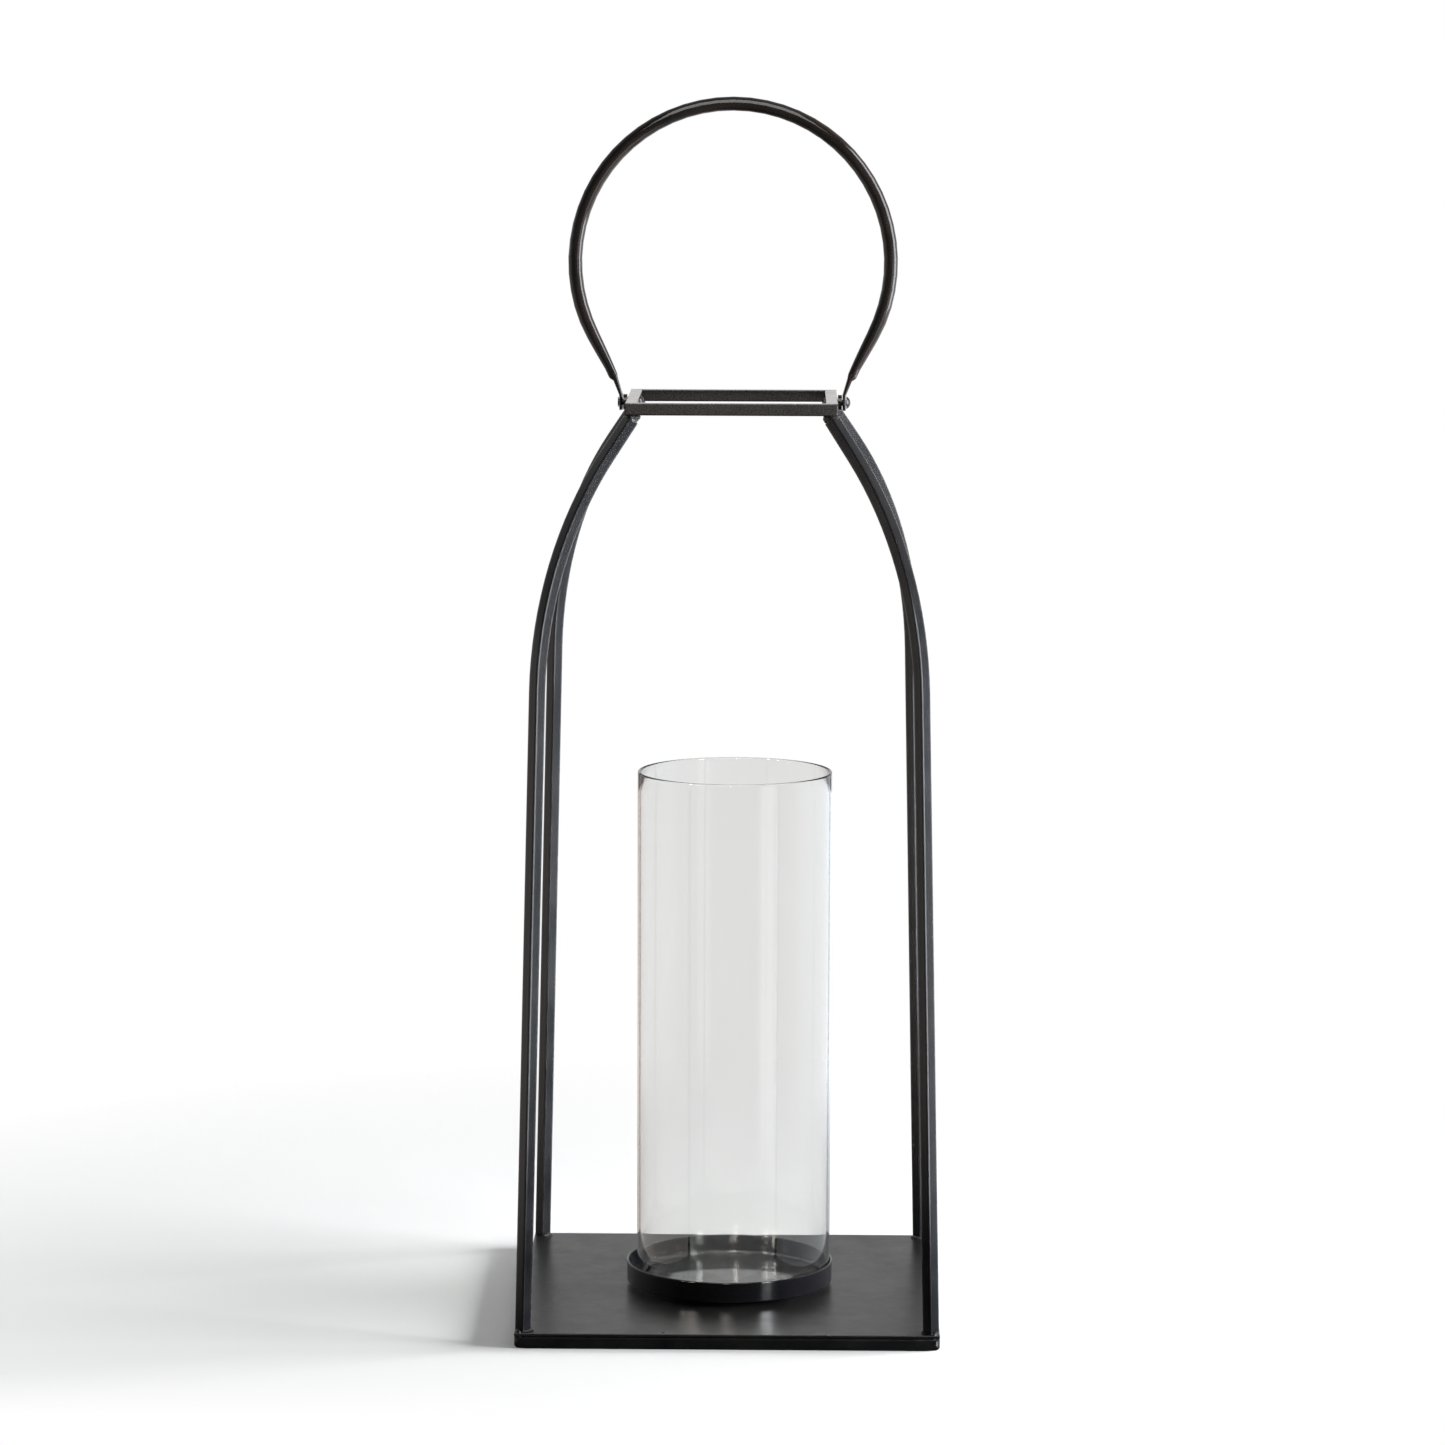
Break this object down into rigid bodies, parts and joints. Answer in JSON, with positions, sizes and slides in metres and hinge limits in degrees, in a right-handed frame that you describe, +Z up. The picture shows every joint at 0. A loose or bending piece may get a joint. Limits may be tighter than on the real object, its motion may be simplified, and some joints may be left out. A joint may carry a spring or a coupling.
{
  "type": "candle lantern",
  "caption": "Open candle lantern of bent square iron bar on a square base plate, with a loose glass cylinder in a shallow tray and a round swinging handle.",
  "frame": {"origin": "on the floor under the middle of the square base", "axes": "+Z up, +X to the right, front towards -Y; the handle swings about X"},
  "size_m": [0.213, 0.213, 0.6208],
  "materials": {
    "bar_paint": "satin black paint",
    "plate_paint": "satin black paint, smoother and glossier than the bars",
    "tray_paint": "semi-gloss black paint",
    "handle_paint": "satin black paint with a brown cast",
    "rivet_paint": "satin black paint",
    "washer_paint": "matt black paint",
    "spacer_paint": "matt black paint",
    "clear_glass": "clear, polished"
  },
  "bodies": {
    "lantern_frame": {"base_plate": "plate_paint", "base_rail_front": "bar_paint", "base_rail_right": "bar_paint", "base_rail_back": "bar_paint", "base_rail_left": "bar_paint", "leg_front_left": "bar_paint", "leg_front_right": "bar_paint", "leg_back_left": "bar_paint", "leg_back_right": "bar_paint", "top_rail_front": "bar_paint", "top_rail_right": "bar_paint", "top_rail_back": "bar_paint", "top_rail_left": "bar_paint", "handle_rivet_right": "rivet_paint", "handle_rivet_left": "rivet_paint", "handle_washer_right": "washer_paint", "handle_washer_left": "washer_paint", "tray_spacer": "spacer_paint", "candle_tray": "tray_paint"},
    "glass": {"glass_cylinder": "clear_glass"},
    "carrying_handle": {"handle": "handle_paint"}
  },
  "joints": [
    {"name": "handle_swing", "type": "hinge", "parent": "lantern_frame", "child": "carrying_handle", "pos_m": [0, 0, 0.4665], "axis": [1, 0, 0], "range_deg": [-116, 116]},
    {"name": "glass_lift", "type": "slide", "parent": "lantern_frame", "child": "glass", "axis": [0, 0, 1], "range_m": [0, 0.18]}
  ]
}
